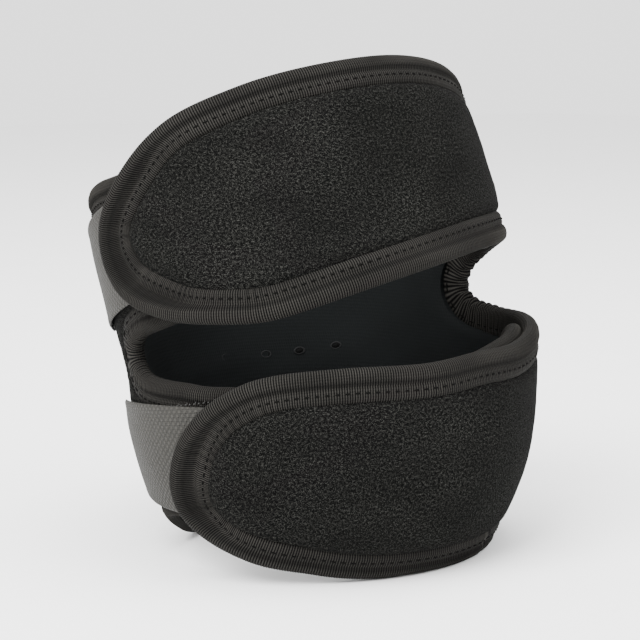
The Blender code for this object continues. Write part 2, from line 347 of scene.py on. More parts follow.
@dataclass(frozen=True)
class WovenTape(Finish):
    """Hook tape backing: a grey weave with diagonal rows of dots."""

    dark: tuple[float, float, float] = (0.0075, 0.0072, 0.0063)
    pale: tuple[float, float, float] = (0.045, 0.0428, 0.0372)

    def surface(self, graph: Graph) -> tuple[Any, Any, Optional[Signal]]:
        """Diagonal weave dots with worn threads."""
        place = graph.cloth_place()
        across, along = place.part("X"), place.part("Y")
        first = ((across + along) * 3.4).sine() * 0.5 + 0.5
        second = ((across - along) * 3.4).sine() * 0.5 + 0.5
        dots = first * second
        threads = (along * 14.0).sine() * 0.5 + 0.5
        worn = graph.noise(place, 0.35, 3.0, 0.6)
        share = dots.power(0.7) * 0.5 + threads * 0.16 + worn * 0.32
        colour = graph.mix(share, self.dark, self.pale)
        weave = graph.bump(dots, 0.00035, 0.9)
        return colour, 0.62 + worn * 0.2, graph.bump(threads, 0.00008, 0.5, weave)


@dataclass(frozen=True)
class Plain(Finish):
    """A moulded or twisted piece in one tone with fine mottling."""

    dark: tuple[float, float, float] = (0.02, 0.02, 0.02)
    pale: tuple[float, float, float] = (0.04, 0.04, 0.04)
    grain: float = 3.0
    depth: float = 0.0001

    def surface(self, graph: Graph) -> tuple[Any, Any, Optional[Signal]]:
        """Fine mottling in colour, roughness and bump."""
        place = graph.signal("TexCoord", "Object").times(1000.0)
        mottle = graph.noise(place, self.grain, 3.0, 0.6)
        colour = graph.mix(mottle, self.dark, self.pale)
        return colour, self.roughness - mottle * 0.1, graph.bump(mottle, self.depth, 0.5)


CLOTH = LoopCloth("loop_cloth", specular=0.02)
LINING = Jersey("lining_jersey", specular=0.08)
BINDING = RibbedTape("edge_binding", specular=0.05)
TAPE = WovenTape("hook_tape_weave", specular=0.2)
HOOKS = Plain(
    "tape_hooks", 0.55, 0.4, dark=(0.012, 0.012, 0.011), pale=(0.026, 0.0255, 0.023), grain=2.0
)
THREAD = Plain("sewing_thread", 0.9, 0.02, dark=(0.0012, 0.0012, 0.0012), pale=(0.005, 0.0049, 0.0045))
# Painted shade: a near-black disc that stands for the shadow inside each vent hole.
HOLE_SHADE = Plain("vent_hole_shade", 0.95, 0.1, dark=(0.0006, 0.0006, 0.0006), pale=(0.0014, 0.0014, 0.0014))
RING = Plain("vent_rim", 0.8, 0.25, dark=(0.0006, 0.0007, 0.0008), pale=(0.0020, 0.0023, 0.0024))
FLOOR = Plain(
    "floor_paper", 0.9, 0.2, dark=(0.93, 0.93, 0.93), pale=(0.96, 0.96, 0.96), grain=0.02, depth=0.0
)


# ----------------------------------------------------------------------------
# The tube that every sheet lies on


def ease(value: Array) -> Array:
    """A smooth step from 0 to 1."""
    value = np.clip(value, 0, 1)
    return value * value * (3 - 2 * value)


@lru_cache(maxsize=None)
def bent_axis(
    lean: float, radius: float, start: float, blend: float = 6.0
) -> tuple[Array, Array, Array, Array]:
    """The tube's axis: straight, an arc that leans back, then straight, with its curvature eased.

    Args:
        lean: How far the axis leans in all, in degrees.
        radius: Radius of the arc.
        start: Height where the arc starts.
        blend: Half the height over which the curvature comes and goes.

    Returns:
        Heights along the axis, and the lean in radians, the shift back and the rise at each.
    """
    step = 0.02
    height = np.arange(-20.0, 170.0, step)
    end = start + radius * math.radians(lean)
    share = ease((height - start + blend) / (2 * blend)) - ease((height - end + blend) / (2 * blend))
    bend = np.cumsum(share) * step / radius
    shift = np.cumsum(np.sin(bend)) * step
    rise = np.cumsum(np.cos(bend)) * step
    return height, bend, shift, rise - np.interp(0.0, height, rise)


@dataclass(frozen=True)
class Tube:
    """A bent oval tube with edges that curl in."""

    half_width: float = 54.5
    half_depth: float = 50.5
    sway: float = 0.06
    lean: float = 22.3
    lean_radius: float = 85.0
    lean_start: float = 28.0
    foot_curl: float = 12.5
    foot_curl_height: float = 42.0
    crown_curl: float = 2.0
    crown_curl_start: float = 90.0
    crown_curl_height: float = 28.0
    floor_cut: float = -1.6
    rim_flare: float = 2.6
    axis_x: float = 1.36
    axis_y: float = -6.97

    def curl(self, height: Array) -> Array:
        """How far the elastic edges draw the wall in."""
        foot = self.foot_curl * np.clip(1 - height / self.foot_curl_height, 0, None) ** 2.1
        crown = np.clip((height - self.crown_curl_start) / self.crown_curl_height, 0, None)
        return foot + self.crown_curl * crown**2

    def flare(self, angle: Array, height: Array) -> Array:
        """How far the lower band's top rim stands out under the right notch."""
        rim = ease((height - 36.0) / 14.0) * ease((62.0 - height) / 6.0)
        right = (np.asarray(angle, float) + 180.0) % 360.0 - 180.0
        return self.rim_flare * rim * ease((right + 84.0) / 36.0) * ease((-6.0 - right) / 22.0)

    def wall(self, angle: Array, height: Array) -> Array:
        """Points of the hub's outer cloth, in millimetres.

        Args:
            angle: Angles in degrees.
            height: Heights along the bent axis.

        Returns:
            Points, with their three coordinates last.
        """
        angle, height = np.broadcast_arrays(np.asarray(angle, float), np.asarray(height, float))
        turn = np.radians(angle)
        axis, *curves = bent_axis(self.lean, self.lean_radius, self.lean_start)
        bend, shift, rise = (np.interp(height, axis, curve) for curve in curves)
        proud = self.flare(angle, height) - self.curl(height)
        x = (self.half_width + proud) * np.cos(turn)
        y = (self.half_depth + proud) * np.sin(turn)
        across = x + self.axis_x - self.sway * shift
        back = shift + y * np.cos(bend) + self.axis_y
        return np.stack([across, back, rise - y * np.sin(bend) - self.floor_cut], -1)

    def outward(self, angle: Array, height: Array) -> Array:
        """Unit normals of the wall."""
        step = 0.05
        around = self.wall(np.add(angle, step), height) - self.wall(np.subtract(angle, step), height)
        along = self.wall(angle, np.add(height, step)) - self.wall(angle, np.subtract(height, step))
        normal = np.cross(around, along)
        return normal / np.linalg.norm(normal, axis=-1, keepdims=True)

    def place(self, angle: Array, height: Array, level: Array) -> Array:
        """Points at a level off the wall, kept on or above the floor."""
        level = np.broadcast_to(level, np.broadcast(angle, height).shape)
        points = self.wall(angle, height) + self.outward(angle, height) * level[..., None]
        points[..., 2] = np.maximum(points[..., 2], 0)
        return points

    def cloth(self, angle: Array, height: Array) -> Array:
        """Places on the flat cloth, in millimetres, that stay true along the bent wall."""
        reach = self.lean_radius * math.radians(self.lean)
        bent = np.clip(height - self.lean_start, 0, reach)
        side = self.half_depth * np.sin(np.radians(angle))
        return np.stack([np.multiply(angle, MM_PER_DEGREE), height - bent * side / self.lean_radius], -1)

    def stretch(self, angle: Array, height: Array) -> tuple[Array, Array]:
        """Millimetres on the wall per degree round it and per unit of height."""
        step = 0.05
        around = np.linalg.norm(self.wall(angle + step, height) - self.wall(angle - step, height), axis=-1)
        along = np.linalg.norm(self.wall(angle, height + step) - self.wall(angle, height - step), axis=-1)
        return around / (2 * step), along / (2 * step)


TUBE = Tube()
SHEET = 4.0
STRAP_CLEARANCE = 0.8
TAPE_CLEARANCE = 2.0
BACKING_LEVELS = (1.15, 1.75)
MM_PER_DEGREE = 0.925
INNER_MM_PER_DEGREE = 0.86
TAPE_FREE = 37.1
TAPE_SEWN = 20.4


def skin_level(angle: Array) -> Array:
    """Level of the skin side of the sheet, which overlaps itself as it goes round.

    Args:
        angle: Unrolled angles, from -183 at the strap tips over 90 at the hub to 344 at the arm tips.

    Returns:
        Levels in millimetres: the arms lie inside, and the straps rise over them and over the hook tape.
    """
    angle = np.asarray(angle, float)
    risen = ease((14.0 - angle) / 28.0)
    tongue = ease((-130.0 - angle) / 20.0)
    return -SHEET + (SHEET + STRAP_CLEARANCE) * risen + TAPE_CLEARANCE * tongue


# ----------------------------------------------------------------------------
# Paths and meshes


class Path:
    """An edge of a sheet, as angles and heights, with the cloth on its left."""

    STEPS = 12

    def __init__(self, keys: Iterable[tuple[float, float]]) -> None:
        """Draws a smooth curve through the keys.

        Args:
            keys: Angle and height pairs.
        """
        points = np.array(list(keys), float)
        padded = np.vstack([2 * points[0] - points[1], points, 2 * points[-1] - points[-2]])
        made = []
        for start in range(len(points) - 1):
            a, b, c, d = padded[start : start + 4]
            for t in np.arange(self.STEPS) / self.STEPS:
                made.append(
                    0.5 * (2 * b + (c - a) * t + (2 * a - 5 * b + 4 * c - d) * t**2)
                    + 0.5 * (3 * b - a - 3 * c + d) * t**3
                )
        made.append(points[-1])
        self.line = np.array(made)

    @classmethod
    def of(cls, line: Array) -> "Path":
        """A path that keeps the points of a line."""
        path = cls.__new__(cls)
        path.line = line
        return path

    def lengths(self) -> Array:
        """Distance along the wall from the start to each point."""
        points = TUBE.wall(*self.line.T)
        steps = np.linalg.norm(np.diff(points, axis=0), axis=1)
        return np.concatenate([[0.0], np.cumsum(steps)])

    def even(self, spacing: float) -> "Path":
        """The same path with points at an even spacing in millimetres."""
        lengths = self.lengths()
        count = max(2, round(lengths[-1] / spacing))
        at = np.linspace(0, lengths[-1], count + 1)
        return Path.of(np.stack([np.interp(at, lengths, self.line[:, k]) for k in (0, 1)], 1))


def tongue_shift(angle: Array, depth: Union[float, Array]) -> Array:
    """How many degrees the binding's flat strip and seam lie back from the tongues' rolled tips."""
    return 4.4 * ease((-144.0 - angle) / 32.0) * ease((np.asarray(depth) - 3.2) / 3.0)


class Margin:
    """The strip of cloth along a path, measured by distance into the cloth."""

    STEP = 0.5
    OUTSIDE = 2

    def __init__(self, path: Path, reach: float) -> None:
        """Walks from the path into the cloth, square to the path.

        Args:
            path: The edge of the cloth.
            reach: How far to walk, in millimetres.
        """
        around, along = TUBE.stretch(*path.line.T)
        tangent = np.gradient(path.line, axis=0) * np.stack([around, along], 1)
        tangent /= np.linalg.norm(tangent, axis=1, keepdims=True)
        way = np.stack([-tangent[:, 1], tangent[:, 0]], 1)
        rows = [path.line]
        for _ in range(math.ceil(reach / self.STEP)):
            scale = np.stack(TUBE.stretch(*rows[-1].T), 1)
            rows.append(rows[-1] + way / scale * self.STEP)
        out = way / np.stack([around, along], 1) * self.STEP
        self.rows = np.array([path.line - out * (self.OUTSIDE - k) for k in range(self.OUTSIDE)] + rows)

    def at(self, depth: Union[float, Array]) -> Array:
        """Angle and height of each point of the path, moved a depth into the cloth."""
        row = np.broadcast_to(depth / self.STEP + self.OUTSIDE, self.rows.shape[1])
        low = np.clip(np.floor(row).astype(int), 0, len(self.rows) - 2)
        pick = np.arange(self.rows.shape[1])
        share = (row - low)[:, None]
        made = self.rows[low, pick] * (1 - share) + self.rows[low + 1, pick] * share
        made[:, 0] += tongue_shift(self.rows[self.OUTSIDE, :, 0], depth)
        return made


def make_mesh(
    name: str,
    points: Array,
    faces: Sequence[Sequence[int]],
    places: Array,
    finishes: Sequence[Finish],
    picks: Optional[Sequence[int]] = None,
) -> bpy.types.Object:
    """Makes a closed mesh object with cloth coordinates.

    Args:
        name: The object's name.
        points: Corners in millimetres.
        faces: Corner numbers of each face.
        places: Place on the cloth of each corner, in millimetres.
        finishes: One finish for each material slot.
        picks: The slot of each face, or None for the first.

    Returns:
        The new object, linked to the scene.
    """
    data = bpy.data.meshes.new(name)
    data.from_pydata((np.asarray(points) * MM).tolist(), [], [tuple(int(i) for i in f) for f in faces])
    for finish in finishes:
        data.materials.append(finish.material())
    if picks is not None:
        data.polygons.foreach_set("material_index", np.asarray(picks, np.int32))
    data.polygons.foreach_set("use_smooth", np.ones(len(data.polygons), bool))
    corners = np.empty(len(data.loops), np.int32)
    data.loops.foreach_get("vertex_index", corners)
    layer = data.uv_layers.new(name="cloth")
    layer.data.foreach_set("uv", (np.asarray(places, float)[corners] * MM).astype(np.float32).ravel())
    work = bmesh.new()
    work.from_mesh(data)
    bmesh.ops.recalc_face_normals(work, faces=work.faces)
    work.to_mesh(data)
    work.free()
    obj = bpy.data.objects.new(name, data)
    bpy.context.scene.collection.objects.link(obj)
    return obj


def search_tree(points: Sequence[Sequence[float]]) -> kdtree.KDTree:
    """A tree that finds the nearest of some points."""
    tree = kdtree.KDTree(len(points))
    for index, point in enumerate(points):
        tree.insert(point, index)
    tree.balance()
    return tree


def cloth_waves(angle: Array, height: Array) -> Array:
    """Soft unevenness of hand-stretched cloth, about one millimetre from trough to crest."""
    a, h = np.radians(angle), height
    return (
        0.22 * np.sin(5.1 * a + 0.05 * h + 0.7) * np.sin(0.11 * h + 1.3 * a)
        + 0.16 * np.sin(11.3 * a - 0.13 * h + 2.1)
        + 0.10 * np.sin(0.31 * h + 7.0 * a + 0.4)
    )


@dataclass
class Panel:
    """A laminated panel inside its binding: loop cloth outside, lining inside, foam between."""

    name: str
    outline: Array
    rim: Array
    spacing: float = 1.2
    pile: float = 0.07
    groove: float = 1.7
    groove_reach: float = 1.3
    crown: float = 0.35
    crown_reach: float = 9.0
    wave_reach: float = 7.0
    crisp_angle: float = 50.0

    def flat_fill(self) -> tuple[Array, list[tuple[int, int, int]]]:
        """Fills the outline with triangles on an even grid.

        Returns:
            Corner places as angle and height, and triangles.
        """
        scale = np.array([0.9, 1.0])
        rim = self.outline * scale
        low, high = rim.min(0), rim.max(0)
        row_step = self.spacing * math.sqrt(3) / 2
        inner = []
        tree = search_tree([(*point, 0.0) for point in rim])
        for row, y in enumerate(np.arange(low[1] + row_step, high[1], row_step)):
            for x in np.arange(low[0] + self.spacing * (0.5 + 0.5 * (row % 2)), high[0], self.spacing):
                if tree.find((x, y, 0.0))[2] > self.spacing * 0.55:
                    inner.append((x, y))
        points = [Vector(p) for p in np.vstack([rim, np.array(inner)])]
        count = len(rim)
        loop = [(i, (i + 1) % count) for i in range(count)]
        corners, _, triangles, _, _, _ = geometry.delaunay_2d_cdt(points, loop, [], 1, 1e-6)
        return np.array([tuple(c) for c in corners]) / scale, [tuple(t) for t in triangles]

    def build(self) -> bpy.types.Object:
        """Makes the panel as one closed body.

        Returns:
            The panel object.
        """
        places, triangles = self.flat_fill()
        used = sorted({i for t in triangles for i in t})
        renumber = {old: new for new, old in enumerate(used)}
        places = places[used]
        triangles = [tuple(renumber[i] for i in t) for t in triangles]
        angle, height = places.T
        base = skin_level(angle)
        tree = search_tree(TUBE.place(*self.rim.T, skin_level(self.rim[:, 0])))
        depth = np.array([tree.find(p)[2] for p in TUBE.place(angle, height, base)])
        sunk = self.groove * np.exp(-((depth / self.groove_reach) ** 2))
        full = self.crown * (1 - np.exp(-depth / self.crown_reach))
        waves = cloth_waves(angle, height) * (1 - np.exp(-((depth / self.wave_reach) ** 2)))
        tufts = np.random.default_rng(7).uniform(-self.pile, self.pile, len(angle)) * (1 - np.exp(-depth))
        outer = TUBE.place(angle, height, base + SHEET - sunk + full + waves + tufts)
        inner = TUBE.place(angle, height, base + 0.4 * sunk - 0.25 * full + waves * 0.6)
        count = len(places)
        faces: list[tuple[int, ...]] = list(triangles)
        faces += [(a + count, c + count, b + count) for a, b, c in triangles]
        sides: dict[tuple[int, int], int] = {}
        for a, b, c in triangles:
            for pair in ((a, b), (b, c), (c, a)):
                sides[pair] = sides.get(pair, 0) + 1
        rim = [pair for pair in sides if (pair[1], pair[0]) not in sides]
        faces += [(b, a, a + count, b + count) for a, b in rim]
        picks = [0] * len(triangles) + [1] * (len(triangles) + len(rim))
        cloth = TUBE.cloth(angle, height)
        points, places = np.vstack([outer, inner]), np.vstack([cloth, cloth])
        panel = make_mesh(self.name, points, faces, places, (CLOTH, LINING), picks)
        panel.data.set_sharp_from_angle(angle=math.radians(self.crisp_angle))
        return panel


@dataclass
class EdgeBinding:
    """Ribbed tape folded over the edge of a sheet, with its two rows of stitches."""

    name: str
    path: Path
    pitch: float = RIB_PITCH
    rib: float = 0.09
    stitch_pitch: float = 2.4
    stitch_depth: float = 6.2
    gather_pitch: float = 2.7
    hollow: float = 0.0
    gathers: Sequence[tuple[float, float, float, float]] = ()

    STITCH_RADIUS = 0.22
    STITCH_REACH = 0.62
    STITCH_SIDES = 6
    STITCH_STEP = 0.35
    STITCH_SINK = 0.14
    STITCH_ARCH = 0.10
    STITCH_HEIGHT = 0.2
    STITCH_PULL = 0.16
    CREASE = 4.7
    MARGIN_REACH = 13.5
    OUTER = (
        (8.7, -1.2, 0.0), (8.15, -0.5, 0.1), (7.3, -0.1, 0.2), (6.2, -0.12, 0.2), (5.3, -0.14, 0.3),
        (4.7, -0.4, 0.4), (4.1, 0.0, 0.9), (3.1, 0.28, 1.0), (1.9, 0.18, 1.0), (0.8, -0.3, 1.0),
        (0.15, -1.2, 1.0),
    )
    INNER = (
        (0.15, 1.1, -0.8), (0.9, 0.1, -0.6), (2.2, -0.22, -0.5), (4.0, -0.18, -0.5), (6.2, 0.0, -0.3),
        (7.8, 0.0, -0.2), (8.7, 0.9, 0.0),
    )

    def section(self) -> list[tuple[float, float, float]]:
        """Depth, level and share of the rib height at each corner of the tape's section."""
        outer = [(depth, SHEET + rise, share) for depth, rise, share in self.OUTER]
        return outer + [(0.0, SHEET / 2, 0.0)] + list(self.INNER)

    def gather(self, line: Array, lengths: Array) -> Array:
        """Scallops where the tape is drawn tight round a notch, in millimetres.

        Args:
            line: The path's angles and heights.
            lengths: Distance along the path.

        Returns:
            How far the edge moves into the cloth at each point.
        """
        moved = np.zeros(len(line))
        for angle, height, reach, amount in self.gathers:
            away = np.hypot((line[:, 0] - angle) * 0.9, line[:, 1] - height)
            waves = np.sin(lengths * 2 * math.pi / self.gather_pitch)
            moved += amount * np.exp(-((away / reach) ** 2)) * waves
        return moved

    def sunk(self, angle: Array, depth: float) -> Array:
        """How far the tape's outer face lies below its usual level behind the roll of a tongue."""
        tongue = ease((-154.0 - angle) / 14.0)
        crease = 2.0 * math.exp(-(((depth - self.CREASE) / 0.8) ** 2))
        return tongue * np.maximum(crease, self.hollow * ease((depth - 4.1) / 1.1))

    def build(self) -> bpy.types.Object:
        """Makes the tape as one closed swept body.

        Returns:
            The binding object.
        """
        path = self.path.even(self.pitch / 3)
        line, lengths, margin = path.line, path.lengths(), Margin(path, self.MARGIN_REACH)
        phase = lengths * 2 * math.pi / self.pitch
        crest = np.cos(phase) * self.rib
        scallop = self.gather(line, lengths)
        sewn = np.cos(lengths * 2 * math.pi / self.stitch_pitch)
        rings, places = [], []
        across = 0.0
        previous: Optional[tuple[float, float]] = None
        for depth, level, share in self.section():
            if previous is not None:
                across += math.hypot(depth - previous[0], level - previous[1])
            previous = (depth, level)
            at = margin.at(depth + scallop * max(0.0, 1 - depth / 9.0))
            on_seam = abs(depth - self.stitch_depth) < 0.1
            pulled = -self.STITCH_PULL * np.clip(-sewn, 0, 1) if on_seam else 0.0
            lift = level + crest * share + pulled * np.sign(share) + 0.5 * scallop * share
            if level > SHEET / 2:
                lift = lift - self.sunk(line[:, 0], depth)
            rings.append(TUBE.place(at[:, 0], at[:, 1], skin_level(line[:, 0]) + lift))
            places.append(np.stack([lengths, np.full(len(lengths), across)], 1))
        points, cloth = np.stack(rings, 1), np.stack(places, 1)
        count, size, _ = points.shape
        faces: list[tuple[int, ...]] = [tuple(range(size)), tuple(range((count - 1) * size, count * size))]
        for i in range(count - 1):
            for j in range(size):
                k = (j + 1) % size
                faces.append((i * size + j, i * size + k, (i + 1) * size + k, (i + 1) * size + j))
        return make_mesh(self.name, points.reshape(-1, 3), faces, cloth.reshape(-1, 2), (BINDING,))

    def stitches(self) -> bpy.types.Object:
        """Makes the two rows of stitches, one on each face of the tape.

        Returns:
            The stitching object.
        """
        path = self.path.even(self.STITCH_STEP)
        lengths, margin = path.lengths(), Margin(path, self.MARGIN_REACH)
        points: list[Array] = []
        faces: list[tuple[int, ...]] = []
        stretches = np.linspace(-1, 1, 7)
        girth = np.sqrt(np.clip(1 - stretches**4, 0.02, 1))
        turns = np.arange(self.STITCH_SIDES) * 2 * math.pi / self.STITCH_SIDES
        starts = np.arange(self.stitch_pitch, lengths[-1] - self.stitch_pitch, self.stitch_pitch)
        reach = self.STITCH_RADIUS + 0.01
        near, far = margin.at(self.stitch_depth - reach), margin.at(self.stitch_depth + reach)
        for centre in starts:
            along = centre + stretches * self.STITCH_REACH
            sides = [
                np.stack([np.interp(along, lengths, row[:, k]) for k in (0, 1)]) for row in (near, far)
            ]
            angles = np.interp(along, lengths, path.line[:, 0])
            outer = SHEET - self.STITCH_SINK - self.sunk(angles, self.stitch_depth)
            for level, sign in ((outer, 1.0), (0.0, -1.0)):
                base = skin_level(angles)
                arch = sign * self.STITCH_ARCH * (1 - stretches**2)
                first = sum(len(p) for p in points)
                for turn in turns:
                    share = 0.5 + 0.5 * self.STITCH_RADIUS * girth * math.cos(turn) / reach
                    lift = level + arch + self.STITCH_HEIGHT * girth * math.sin(turn)
                    at = sides[0] * (1 - share) + sides[1] * share
                    points.append(TUBE.place(at[0], at[1], base + lift))
                size = len(stretches)
                for j in range(self.STITCH_SIDES):
                    k = (j + 1) % self.STITCH_SIDES
                    for i in range(size - 1):
                        near_side, far_side = first + j * size + i, first + k * size + i
                        faces.append((near_side, far_side, far_side + 1, near_side + 1))
                faces.append(tuple(first + j * size for j in range(self.STITCH_SIDES)))
                faces.append(tuple(first + j * size + size - 1 for j in range(self.STITCH_SIDES)))
        merged = np.vstack(points)
        return make_mesh(self.name + "_stitches", merged, faces, merged[:, :2], (THREAD,))


# ----------------------------------------------------------------------------
# The pad's edge, as unrolled angle and height, with the cloth on its left

HUB_FOOT = [
    (-62, 0), (-40, -0.5), (-12, -2), (20, -3), (60, -3), (100, -3), (132, -2), (148, 2.5), (162, 8),
]
LOWER_ARM = [
    (180, 11), (215, 12), (260, 12), (300, 13), (329, 15.5), (340, 22), (344, 32), (343, 42), (335, 49.3),
    (321, 50.5), (300, 47.5), (270, 44.2), (235, 43.5), (204, 45.2),
]
LEFT_NOTCH = [
    (192, 47), (183, 48.5), (174.5, 50.5), (169.5, 53), (167, 56.8), (169.5, 60), (176, 61.2), (187, 60.8),
]
UPPER_ARM = [
    (205, 61), (235, 63), (270, 65), (305, 67), (328, 70), (339, 76), (342, 84), (339, 92), (328, 98),
    (305, 102), (270, 104), (230, 104), (195, 103), (181, 104.5),
]
HUB_TOP = [(165, 106.5), (140, 107), (100, 107), (60, 107), (20, 109), (-12, 113.2), (-40, 116.6)]
UPPER_STRAP = [
    (-62, 117.6), (-82, 117.3), (-104, 115.7), (-128, 113.6), (-145, 110.6), (-156.5, 107), (-167, 101.6),
    (-175.5, 96), (-180.8, 90.5), (-182.8, 84), (-181.6, 77), (-177.5, 70.3), (-170, 64.3), (-160, 59.4),
    (-146, 56.3), (-134, 55.5), (-114, 57.2), (-88, 60.3),
]
RIGHT_NOTCH = [
    (-62, 64.8), (-44, 68.5), (-30, 70.5), (-16, 71), (-7, 69.5), (-3, 65), (-5, 60.5), (-12, 57),
    (-25, 53.5), (-42, 50),
]
LOWER_STRAP = [
    (-62, 46.7), (-80, 45.8), (-98, 45), (-120, 45.8), (-138, 46), (-148, 44.6), (-157.5, 41.2),
    (-165.5, 35.5), (-170, 28.5), (-171.2, 22.5), (-169.5, 17), (-163, 12), (-152, 7.6), (-134, 3),
    (-114, 0.5), (-88, -0.4), (-62, -0.4),
]
NOTCH_APEX = (-3.0, 65.0)
STRAP_BINDING_START = -30.0
PANEL_SEAM = 6.5
PANEL_INSET = 7.6
FOLD_ANGLE = -62.0
FOLD_REACH = 13.0


class Outline:
    """The closed edge of the whole sheet, and the pieces that it is cut into."""

    def __init__(self) -> None:
        """Draws the edge once round."""
        left = HUB_FOOT + LOWER_ARM + LEFT_NOTCH + UPPER_ARM
        self.edge = Path(left + HUB_TOP + UPPER_STRAP + RIGHT_NOTCH + LOWER_STRAP)
        self.inner = Path.of(Margin(self.edge, PANEL_INSET + 5).at(PANEL_INSET))

    @staticmethod
    def crossings(line: Array, angle: float) -> list[int]:
        """Indexes of the last point before each crossing of an angle."""
        side = line[:, 0] > angle
        return [int(i) for i in np.flatnonzero(side[1:] != side[:-1])]

    @staticmethod
    def between(line: Array, start: int, end: int, angle: float) -> Array:
        """The stretch of a line between two crossings of an angle, with both ends on it."""
        ends = []
        for index in (start, end):
            before, after = line[index], line[index + 1]
            share = (angle - before[0]) / (after[0] - before[0])
            ends.append(before + (after - before) * share)
        return np.vstack([ends[0], line[start + 1 : end + 1], ends[1]])

    def edges(self) -> dict[str, Path]:
        """Paths of the four bindings.

        Returns:
            The hub's, the upper strap's, the right notch's and the lower strap's path.
        """
        line = self.edge.line
        foot, top, upper, lower = self.crossings(line, STRAP_BINDING_START)
        turned = np.vstack([line[lower + 1 :], line[1 : foot + 2]])
        low_strap = np.vstack([self.between(line, lower, lower, STRAP_BINDING_START)[:1], turned])
        low_end = self.between(line, foot, foot, STRAP_BINDING_START)[:1]
        low_strap = np.vstack([low_strap[:-1], low_end])
        return {
            "hub": Path.of(self.between(line, foot, top, STRAP_BINDING_START)),
            "upper": Path.of(self.between(line, top, upper, STRAP_BINDING_START)),
            "notch": Path.of(self.between(line, upper, lower, STRAP_BINDING_START)),
            "lower": Path.of(low_strap),
        }

    def panels(self, spacing: float) -> dict[str, Array]:
        """Outlines of the three panels.

        Args:
            spacing: Distance between points, in millimetres.

        Returns:
            The hub's, the upper strap's and the lower strap's closed outline.
        """
        line = self.inner.line
        foot, top = self.crossings(line, PANEL_SEAM)
        before = HUB_FOOT + LOWER_ARM + LEFT_NOTCH + UPPER_ARM + HUB_TOP + UPPER_STRAP
        notch = len(before) * Path.STEPS
        apex = notch + int(np.argmax(line[notch : notch + len(RIGHT_NOTCH) * Path.STEPS, 0]))
        foot_end = self.between(line, foot, foot, PANEL_SEAM)[0]
        top_end = self.between(line, top, top, PANEL_SEAM)[0]
        middle = np.array([PANEL_SEAM, line[apex, 1]])

        def run(points: Array) -> Array:
            return Path.of(points).even(spacing).line

        hub = run(self.between(line, foot, top, PANEL_SEAM))
        upper = run(np.vstack([top_end, line[top + 1 : apex + 1]]))
        lower = run(np.vstack([line[apex:], line[1 : foot + 1], foot_end]))
        foot_seam, top_seam = run(np.array([foot_end, middle])), run(np.array([middle, top_end]))
        return {
            "hub": np.vstack([hub[:-1], top_seam[::-1][:-1], foot_seam[::-1][:-1]]),
            "upper": np.vstack([upper, top_seam[:-1]]),
            "lower": np.vstack([lower[:-1], foot_seam]),
        }


def fold_points(height: float) -> tuple[Array, Array]:
    """Where a strap starts and stops bending at its root, in metres.

    Args:
        height: Height of the middle of the strap.

    Returns:
        The start on the hub's side and the end on the strap's side.
    """
    start = TUBE.wall(FOLD_ANGLE + FOLD_REACH, height) * MM
    return start, TUBE.wall(FOLD_ANGLE - FOLD_REACH, height) * MM


# ----------------------------------------------------------------------------
# Hook tape


